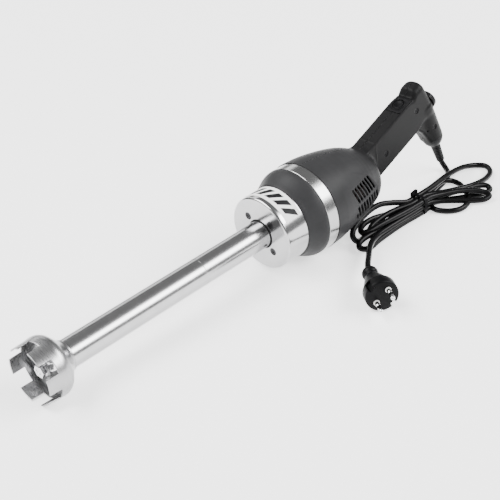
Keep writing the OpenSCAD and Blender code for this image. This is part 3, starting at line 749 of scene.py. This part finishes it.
# ---- nose ring and trim band
BAND_END = 393.1
NOSE_CURVE = [
    (CE, 42.0), (CE, 44.0), (CE + 0.5, 44.5), (358, 45.5), (360.5, 46.6), (363, 47.8), (365.5, 49.1),
    (368, 50.4), (370.5, 51.6), (373, 52.6), (375.3, 53.2), (377.6, 53.4), (378.4, 53.1), (378.4, 49.6),
    (372.4, 49.6), (365.9, 42.0)]
BAND_CURVE = [
    (BAND_X, 52.4), (BAND_X, 53.3), (378.8, BAND_R), (392.8, BAND_R), (BAND_END, 53.3), (BAND_END, 52.4)]
lathe("nose_shell", NOSE_CURVE, NOSE, segments=192, slot="body", replaces=("nose_ring",), angle=40)
lathe("band_sheet", BAND_CURVE, BAND, segments=192, slot="steel", replaces=("trim_band",), angle=30)

# ---- housing and handle, as one smooth moulding in two halves
# radius and height of the middle of the motor housing, station by station from the band to its rear
STATIONS = [
    393.1, 401, 410, 420, 430, 440, 450, 458, 465, 472, 478, 483, 488, 492, 495, 498, 500, 502.5, 504.5,
    505.8, 506.4]
RADII = [
    54.3, 54.0, 53.5, 52.2, 50.5, 48.7, 46.8, 45.1, 43.15, 41.0, 38.6, 36.5, 34.0, 31.1, 28.2, 24.6, 21.7,
    17.0, 11.5, 6.0, 0.0]
OFFSETS = [
    0.2, 0.3, 0.3, 0.5, 0.6, 0.4, 0.0, -0.5, -0.9, -1.7, -2.4, -3.0, -3.5, -3.6, -3.4, -3.2, -3.1, -3.0, -3.0,
    -3.0, -3.0]
DOME_END, DOME_DROP = 506.4, 3
# rounded end of the bar: middle along the handle, half width; then the depth of the bar
NOSE_A, NOSE_R, DEPTH = 31.4, 12.9, 44.8
SEAM_W = -84.0  # lower end of the hook
WALL = 2.9
HALF_GAP = 0.07  # each half keeps this far from the parting plane
SCREWS = ((11.5, -17.2), (-54.5, -25.8), (29.2, -62.2))
KNOB_W, SPINDLE_HOLE_R = 33, 3.6
VENT_HALF = 1.6
FAR_OFF = 1e9


def box2(px, py, hx, hy, r):
    """Distance to a rectangle with rounded corners."""
    qx, qy = np.abs(px) - hx + r, np.abs(py) - hy + r
    return np.hypot(np.maximum(qx, 0), np.maximum(qy, 0)) + np.minimum(np.maximum(qx, qy), 0) - r


def extrude(flat, other, r):
    """Distance to a prism with rounded rims, from the distance to its outline and to its end planes."""
    qx, qy = flat + r, other + r
    return np.hypot(np.maximum(qx, 0), np.maximum(qy, 0)) + np.minimum(np.maximum(qx, qy), 0) - r


def poly2(px, py, pts):
    """Distance to a closed outline, less than nought inside."""
    d = np.full(px.shape, FAR_OFF, np.float32)
    inside = np.zeros(px.shape, bool)
    for i in range(len(pts)):
        (ax, ay), (bx, by) = pts[i - 1], pts[i]
        ex, ey = bx - ax, by - ay
        wx, wy = px - ax, py - ay
        t = np.clip((wx * ex + wy * ey) / (ex * ex + ey * ey), 0, 1)
        d = np.minimum(d, (wx - t * ex) ** 2 + (wy - t * ey) ** 2)
        inside ^= ((ay > py) != (by > py)) & (px < (bx - ax) * (py - ay) / ((by - ay) or 1e-9) + ax)
    return np.where(inside, -1, 1) * np.sqrt(d)


def blend_min(a, b, k):
    """The nearer of two shapes, with a fillet where they meet."""
    h = np.maximum(k - np.abs(a - b), 0) / k
    return np.minimum(a, b) - h * h * k * 0.25


def segment2(px, py, a, b, half):
    """Distance to a slot with round ends."""
    ex, ey = b[0] - a[0], b[1] - a[1]
    t = np.clip(((px - a[0]) * ex + (py - a[1]) * ey) / (ex * ex + ey * ey), 0, 1)
    return np.hypot(px - a[0] - t * ex, py - a[1] - t * ey) - half


CU, SU = math.cos(LEAN), math.sin(LEAN)
WEB_LINE = [
    (-6, -40), (-2, -44.8), (6.5, -50), (12.5, -60), (16.0, -72), (18.6, SEAM_W), (31, SEAM_W), (31, -40)]


def body_field(X, Y, Z):
    """Distance to the outer surface, and the place of each point along (A) and across (W) the handle."""
    R = np.interp(X, STATIONS, RADII).astype(np.float32)
    O = np.interp(X, STATIONS, OFFSETS).astype(np.float32)
    slope = np.interp(X, STATIONS, np.gradient(RADII, STATIONS)).astype(np.float32)
    dome = (np.hypot(Y, Z - O) - R) / np.sqrt(1 + np.minimum(slope, 0) ** 2)
    dome = np.where(X > DOME_END, np.hypot(np.hypot(Y, Z + DOME_DROP), X - DOME_END), dome)
    A = (X - HANDLE_X) * CU + (Z - HANDLE_Z) * SU
    W = -(X - HANDLE_X) * SU + (Z - HANDLE_Z) * CU
    # the bar: straight sides, crisp long edges that soften into a domed, slightly raised end
    swell = np.clip((A - 12.5) / 10, 0, 1)
    lift = 6.3 * swell * swell * (3 - 2 * swell)
    soft = np.clip((A + 2) / 26, 0, 1)
    edge = 2.0 + 6.8 * soft * soft * (3 - 2 * soft)
    lean = -3.2 * np.clip((W + 24) / 24, 0, 1.2)
    plan = np.hypot(np.maximum(A - NOSE_A - lean, 0), Y) - NOSE_R - 0.3
    middle, half = (DEPTH - lift) / 2 - 0.2, (DEPTH + lift) / 2 + 0.4
    side = box2(A - lean + 30, W + middle, NOSE_A + NOSE_R + 30, half, 9.5)
    bar = extrude(plan, side, edge)
    bar = np.maximum(bar, -92 - A)
    # the hook: a round boss with a web to its front
    column = extrude(np.hypot(A - NOSE_A, Y) - NOSE_R - 0.5, np.maximum(W + 30, SEAM_W - W), 0.6)
    web = extrude(poly2(A, W, WEB_LINE), np.abs(Y) - 9.5, 3.5)
    hook = np.maximum(blend_min(column, web, 5), SEAM_W - W)
    d = blend_min(bar, hook, 4)
    d = blend_min(d, dome, 6)
    # the seam cuts the hook only, not the motor housing
    d = np.maximum(d, SEAM_W - W + np.where(A < 0, -1e3, 0))
    return d, A, W


def vent_field(X, Y, Z):
    """Distance to the slanted vents: an upper row, a lower row and a short one in front."""
    d = np.full(X.shape, FAR_OFF, np.float32)
    for i in range(7):
        d = np.minimum(d, segment2(X, Z, (425.6 + 5.8 * i, 20.2), (433.4 + 5.9 * i, 3.6), VENT_HALF))
    for i in range(8):
        d = np.minimum(d, segment2(X, Z, (431.2 + 5.95 * i, -3.0), (437.6 + 5.95 * i, -17.5), VENT_HALF))
    d = np.minimum(d, segment2(X, Z, (428.8, -11), (431.8, -17.5), VENT_HALF))
    return np.maximum(d, 24 - np.abs(Y))


CREASE = [
    (405, 40), (425, 38), (440, 34.6), (450, 30), (458, 25), (465.9, 17.8), (471, 9.5), (475.8, 0),
    (479, -10), (481, -26), (405, -26)]


def relief_field(X, Y, Z):
    """Depth of the shallow panel round the vents: sharp at its rear edge, fading out to the front."""
    inside = np.clip(-poly2(X, Z, CREASE) / 1.7, 0, 1)
    front = np.clip((X - 425) / 30, 0, 1)
    low = np.clip((Z + 26) / 14, 0, 1)
    return 0.75 * inside * inside * (3 - 2 * inside) * front * low * (np.abs(Y) > 14)


def surface(D, lo, h):
    """Closed surface where a sampled field changes sign: a point per crossed cell, a face per edge."""
    S = D < 0
    cells = tuple(n - 1 for n in D.shape)
    count = np.zeros(cells, np.int8)
    corner = [(i, j, k) for i in (0, 1) for j in (0, 1) for k in (0, 1)]
    for i, j, k in corner:
        count += S[i:i + cells[0], j:j + cells[1], k:k + cells[2]]
    at = np.argwhere((count > 0) & (count < 8))
    ids = np.full(cells, -1, np.int64)
    ids[tuple(at.T)] = np.arange(len(at))
    total = np.zeros((len(at), 3))
    hits = np.zeros(len(at))
    for a in corner:
        for axis in range(3):
            if a[axis]:
                continue
            b = list(a)
            b[axis] = 1
            da = D[tuple((at + a).T)].astype(float)
            db = D[tuple((at + b).T)].astype(float)
            m = (da < 0) != (db < 0)
            t = np.where(m, da / np.where(m, da - db, 1), 0)
            p = np.tile(np.array(a, float), (len(at), 1))
            p[:, axis] += t
            total[m] += p[m]
            hits += m
    verts = (at + total / hits[:, None]) * h + lo
    faces = []
    for axis in range(3):
        u, v = [x for x in range(3) if x != axis]
        lo_s = [slice(1, -1)] * 3
        hi_s = [slice(1, -1)] * 3
        lo_s[axis], hi_s[axis] = slice(0, -1), slice(1, None)
        a, b = S[tuple(lo_s)], S[tuple(hi_s)]
        e = np.argwhere(a != b)
        flip = b[tuple(e.T)]
        base = e.copy()
        base[:, u] += 1
        base[:, v] += 1
        quad = []
        for du, dv in ((0, 0), (-1, 0), (-1, -1), (0, -1)):
            c = base.copy()
            c[:, u] += du
            c[:, v] += dv
            quad.append(ids[tuple(c.T)])
        q = np.array(quad).T
        if axis == 1:
            flip = ~flip
        q[flip] = q[flip][:, ::-1]
        faces.append(q)
    return verts, np.concatenate(faces)


def shape_at(P):
    return body_field(*P.T)[0]


def half_shell(name, sign, h, mat, replaces):
    """One half of housing and handle; sign is the side of the parting plane and h the sampling step."""
    x = np.arange(BAND_END - 2, 641, h, dtype=np.float32)
    y_from, y_to = (-57, 1.6) if sign < 0 else (-1.5, 57.1)
    y = np.arange(y_from, y_to, h, dtype=np.float32)
    z = np.arange(-58, 78, h, dtype=np.float32)
    X, Y, Z = np.meshgrid(x, y, z, indexing="ij")
    outside, A, W = body_field(X, Y, Z)
    near = outside + relief_field(X, Y, Z)
    D = np.maximum(near, -(outside + WALL))
    D = np.maximum(D, -vent_field(X, Y, Z))
    # rib between the two rows of vents
    rib = segment2(X, Z, (431, 1.0), (474, -0.6), 0.75)
    D = np.minimum(D, np.maximum(np.maximum(rib, near - 0.35), -(outside + WALL)) + 1e3 * (np.abs(Y) < 20))
    # pad behind the speed knob, then its seat and the spindle hole
    from_knob = np.hypot(Y, W + KNOB_W)
    pad = np.maximum(np.maximum(outside, 37.6 - A), from_knob - 13.4)
    D = np.minimum(D, pad)
    D = np.maximum(D, -np.maximum(from_knob - 12.7, 41.0 - A))
    D = np.maximum(D, -np.maximum(from_knob - SPINDLE_HOLE_R, 20 - A))
    # seat of the switch frame
    D = np.maximum(D, -np.maximum(box2(A, Y, 12.7, 10.9, 1.5), -1.2 - W))
    D = np.maximum(D, -np.maximum(box2(A, Y, 12.2, 9.9, 1.5), -12 - W))
    # screw posts, with recesses on the near side
    for a, w in SCREWS:
        reach = np.hypot(A - a, W - w)
        D = np.minimum(D, np.maximum(np.maximum(reach - 4.2, outside), np.abs(Y) - 20))
        if sign < 0:
            D = np.maximum(D, -np.maximum(reach - 3.4, Y + NOSE_R - 1.3))
        D = np.maximum(D, -np.maximum(reach - 1.6, np.abs(Y) - 9.5))
    # small hole in the near side of the hook
    if sign < 0:
        D = np.maximum(D, -np.maximum(np.hypot(A - 19.5, W + 62) - 1.2, Y + NOSE_R - 6))
    # lead hole, open front and parting plane
    D = np.maximum(D, -np.maximum(np.hypot(A - NOSE_A, Y) - 9.6, W + 78))
    D = np.maximum(D, BAND_END + 0.1 - X)
    D = np.maximum(D, HALF_GAP - sign * Y)
    verts, faces = surface(D, np.array([x[0], y[0], z[0]]), h)
    # the parting edge: corner points go back to where the outer surface meets the parting plane
    plane = sign * HALF_GAP
    P = verts.copy()
    P[:, 1] = plane
    d0 = shape_at(P)
    edge = (np.abs(verts[:, 1] - plane) < 0.8 * h) & (np.abs(d0) < 1.1 * h) & (verts[:, 0] > BAND_END + h)
    Q = P[edge]
    for _ in range(6):
        e = shape_at(Q)
        gx = (shape_at(Q + (0.2, 0, 0)) - e) / 0.2
        gz = (shape_at(Q + (0, 0, 0.2)) - e) / 0.2
        g2 = np.maximum(gx * gx + gz * gz, 0.2)
        Q[:, 0] -= np.clip(e * gx / g2, -0.4, 0.4)
        Q[:, 2] -= np.clip(e * gz / g2, -0.4, 0.4)
    good = np.linalg.norm(Q - verts[edge], axis=1) < 1.3 * h
    verts[np.flatnonzero(edge)[good]] = Q[good]
    mesh = bpy.data.meshes.new(name)
    mesh.from_pydata((verts * MM).tolist(), [], faces.tolist())
    mesh.update()
    settle(name, mesh, mat, replaces=replaces, angle=180)


STEP = 0.8
half_shell("near_moulding", -1, STEP, BODY, ("left_shell",))
half_shell("far_moulding", 1, STEP, BODY, ("right_shell",))

# ---- shell screws
SHELL_SCREW_CURVE = [
    (-3, 0), (-3, 1.5), (NOSE_R - 1.2, 1.5), (NOSE_R - 1.2, 3.1), (NOSE_R - 0.7, 3.1), (NOSE_R - 0.35, 2.7),
    (NOSE_R - 0.2, 0)]
SLOT_CORNERS = ((-2, -0.4), (2, -0.4), (2, 0.4), (-2, 0.4))
CROSS_TURN = 20
for i, (a, w) in enumerate(SCREWS):
    place = HANDLE @ Matrix.Translation((a * MM, 0, w * MM)) @ Matrix.Rotation(math.pi / 2, 4, "X")
    s = lathe(f"shell_screw_{i + 1}", SHELL_SCREW_CURVE, BLACKENED, axis="Z", segments=40, closed=False,
              place=place, slot="steel", replaces=("shell_screws",) if i == 0 else (), angle=35)
    for turn in (0, 90):
        t = math.radians(turn + CROSS_TURN)
        c, d = math.cos(t), math.sin(t)
        v, f = prism([(p * c - q * d, p * d + q * c) for p, q in SLOT_CORNERS], NOSE_R - 0.9, NOSE_R + 1)
        cut(s, "cross_slot", v, f)

# ---- switch frame and button
rim = rounded_rect(25.2, 21.6, 2.6)
shank = rounded_rect(24.2, 19.6, 1.5)
shank_end = [(a * 0.985, b * 0.985) for a, b in shank]
frame_steps = [
    (shank_end, -12.0), (shank, -1.2), (rim, -1.1), (rim, 0.3), (rounded_rect(24.0, 20.4, 2.2), 0.9),
    (rounded_rect(20.6, 17.0, 2.0), 0.95)]
frame_piece = stacked("switch_frame", frame_steps, KNOB, place=HANDLE, slot="black",
                      replaces=("switch_bezel",), bevel=0.25, angle=30)
v, f = prism(circle_points(7.5, 64), -11, 3)
cut(frame_piece, "button_well", v, f)
v, f = prism(circle_points(3.4, 32), -13, -10)
cut(frame_piece, "stem_hole", v, f)
mark_sharp(frame_piece.data, 30)
RING_CURVE = round_corners([(-4, 7.35), (1.6, 7.35), (1.6, 8.6), (0.4, 8.9), (-4, 8.9)], 0.4)
CAP_CURVE = [
    (-22, 0), (-22, 3), (0, 3), (0, 5.5), (-3, 5.5), (-3, 6.9), (0.6, 6.9), (1.2, 6.5), (1.45, 5.6),
    (1.2, 4.4), (0.8, 3), (0.6, 0)]
lathe("button_ring", RING_CURVE, KNOB, axis="Z", segments=72, place=HANDLE, slot="black", angle=35)
lathe("button_cap", CAP_CURVE, BLACK, axis="Z", segments=72, closed=False, place=HANDLE, body="button",
      slot="black", replaces=("push_button",), angle=35)

# ---- speed knob with a fluted skirt
KNOB_AT = HANDLE @ Matrix.Translation((0.0414, 0, -0.033)) @ Matrix.Rotation(math.pi / 2, 4, "Y")
FLUTES, KNOB_STEPS = 24, 192
# height, radius and depth of the flutes
KNOB_RINGS = (
    (0.0, 11.6, 0.0), (0.4, 12.0, 0.0), (1.4, 12.0, 0.0), (1.7, 11.85, 0.08), (2.2, 11.8, 0.16),
    (4.6, 11.5, 0.16), (5.7, 11.0, 0.12), (6.6, 10.0, 0.05), (7.2, 8.6, 0.0), (7.6, 6.6, 0.0),
    (7.8, 3.5, 0.0))


def fluted(r, flute):
    """Outline of the knob at one height."""
    out = []
    for t in np.linspace(0, 2 * math.pi, KNOB_STEPS + 1)[:-1]:
        reach = r - flute * (0.5 + 0.5 * math.cos(FLUTES * t))
        out.append((reach * math.cos(t), reach * math.sin(t)))
    return out


knob = stacked("knob_cap", [(fluted(r, flute), h) for h, r, flute in KNOB_RINGS], KNOB, place=KNOB_AT,
               body="knob", slot="black", replaces=("speed_knob",), angle=40)
v, f = prism(rounded_rect(5.6, 0.9, 0.3, cx=6.6), 6.8, 9)
cut(knob, "pointer_groove", v, f)

# ---- gland cap and strain relief
GLAND = HANDLE @ Matrix.Translation((NOSE_A * MM, 0, 0))
GLAND_CURVE = [
    (-97, 4.0), (-97, 8.0), (-96.4, 9.0), (-95, 10.1), (-92, 11.7), (-89, 12.8), (-86.5, 13.3), (-85, 13.35),
    (-84.5, 13.2), (-84.2, 12.7), (-84.2, 4.0)]
lathe("gland_shell", GLAND_CURVE, BODY, axis="Z", segments=96, place=GLAND, slot="body",
      replaces=("gland_cap",), angle=40)
RELIEF_RINGS, RING_TOP, RING_PITCH = 9, -100.6, 2.9
relief = [(-94, 3.7), (-94, 6.3), (-97.4, 6.3), (-98.0, 5.9), (-98.6, 5.9), (-99.2, 6.3)]
for i in range(RELIEF_RINGS):
    w = RING_TOP - i * RING_PITCH
    r = 6.2 - i * 0.13
    relief += [(w, r), (w - 1.5, r - 0.06), (w - 1.9, r - 0.55), (w - 2.5, r - 0.6)]
relief += [(-127.2, 5.1), (-128.6, 4.95), (-129.1, 4.5), (-129.1, 3.7)]
lathe("relief_sleeve", relief, RUBBER, axis="Z", segments=64, place=GLAND, slot="rubber",
      replaces=("strain_relief",), angle=50)

# ---- label plate on the collar
# angles run from the near horizontal, over the top, to the far side
LABEL_FROM, LABEL_TO = 33.0, 176.0
LABEL_X0, LABEL_X1 = 329.0, 352.4
LABEL_INNER, LABEL_OUTER = CR + 0.02, CR + 0.30
rows, cols = 8, 120
lv, lf = [], []
for r in (LABEL_INNER, LABEL_OUTER):
    for i in range(cols + 1):
        t = math.radians(LABEL_FROM + (LABEL_TO - LABEL_FROM) * i / cols)
        for j in range(rows + 1):
            lv.append((LABEL_X0 + (LABEL_X1 - LABEL_X0) * j / rows, -r * math.cos(t), r * math.sin(t)))
per = (cols + 1) * (rows + 1)
for i in range(cols):
    for j in range(rows):
        a = i * (rows + 1) + j
        q = (a, a + 1, a + rows + 2, a + rows + 1)
        lf += [q, tuple(k + per for k in q[::-1])]
edge = [(i * (rows + 1), (i + 1) * (rows + 1)) for i in range(cols)]
edge += [((i + 1) * (rows + 1) + rows, i * (rows + 1) + rows) for i in range(cols)]
edge += [(j + 1, j) for j in range(rows)]
edge += [(cols * (rows + 1) + j, cols * (rows + 1) + j + 1) for j in range(rows)]
lf += [(a, b, b + per, a + per) for a, b in edge]
piece("label_plate", lv, lf, LABEL, slot="label", replaces=("collar_label",), angle=60)

# ---- CAD nodes that stay, with their finishes; the parts behind the vents are also darkened as painted shade
# painted shade: the rear bracket is black, and the iron cores and varnished parts are near black, partly
# their finish and partly standing in for the shade inside the housing seen through the vents
KEEP = {
    "blade_spacer": STEEL, "lip_seal": RUBBER, "lower_bush": BRONZE, "drive_shaft": BRIGHT,
    "tube_bearing": STEEL, "tube_flange": STEEL, "coupling_sleeve": BLACK, "front_bracket": ALLOY,
    "front_bearing": STEEL, "motor_shaft": BRIGHT, "cooling_fan": IVORY, "rotor_core": IRON,
    "armature_winding": VARNISH, "commutator": COPPER, "stator_core": IRON, "field_coils": VARNISH,
    "rear_bracket": BLACK, "rear_bearing": STEEL, "brush_holders": VARNISH, "carbon_brushes": BLACK,
    "speed_board": BOARD, "potentiometer": BLACK, "speed_spindle": STEEL, "switch_body": BLACK,
    "return_spring": STEEL, "cord_clamp": BLACK}
for name, mat in KEEP.items():
    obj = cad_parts[name]
    obj.data.materials.clear()
    obj.data.materials.append(mat)

# ---- floor and light
FLOOR_HALF = 40
FLOOR_GLOW = 1.35
WORLD_GLOW = 0.30
FLOOR_EDGE = [(x * FLOOR_HALF, y * FLOOR_HALF, 0) for x, y in ((-1, -1), (1, -1), (1, 1), (-1, 1))]
floor_mesh = bpy.data.meshes.new("floor")
floor_mesh.from_pydata(FLOOR_EDGE, [], [(0, 1, 2, 3)])
floor = bpy.data.objects.new("floor", floor_mesh)
bpy.context.collection.objects.link(floor)
FLOOR = material("floor_white", (0.82, 0.82, 0.82), 0.9, spec=0.1)
principled(FLOOR).inputs["Emission Color"].default_value = (1, 1, 1, 1)
principled(FLOOR).inputs["Emission Strength"].default_value = FLOOR_GLOW
floor_mesh.materials.append(FLOOR)

world = bpy.data.worlds.new("studio")
world.use_nodes = True
bpy.context.scene.world = world
bg = world.node_tree.nodes["Background"]
bg.inputs["Color"].default_value = (1, 1, 1, 1)
bg.inputs["Strength"].default_value = WORLD_GLOW
AIM_HEIGHT = 0.05


def softbox(name, azimuth, elevation, width, height, radiance, distance=4.0):
    """Rectangular light seen from the object in one direction, its size given as half angles in degrees."""
    az, el = math.radians(azimuth), math.radians(elevation)
    d = bpy.data.lights.new(name, "AREA")
    d.shape = "RECTANGLE"
    d.size = 2 * distance * math.tan(math.radians(width))
    d.size_y = 2 * distance * math.tan(math.radians(height))
    d.energy = radiance * math.pi * d.size * d.size_y
    o = bpy.data.objects.new(name, d)
    bpy.context.collection.objects.link(o)
    aim = Vector((math.cos(el) * math.cos(az), math.cos(el) * math.sin(az), math.sin(el)))
    o.location = aim * distance + Vector((0, 0, AIM_HEIGHT))
    o.rotation_mode = "QUATERNION"
    o.rotation_quaternion = (-aim).to_track_quat("-Z", "Y")


softbox("key", azimuth=-50, elevation=37, width=27, height=11, radiance=13)
softbox("key_edge", azimuth=-50, elevation=37, width=28, height=17, radiance=3.2, distance=4.3)
softbox("back", azimuth=66, elevation=22, width=16, height=7, radiance=2.4)
softbox("fill", azimuth=135, elevation=54, width=27, height=17, radiance=12)
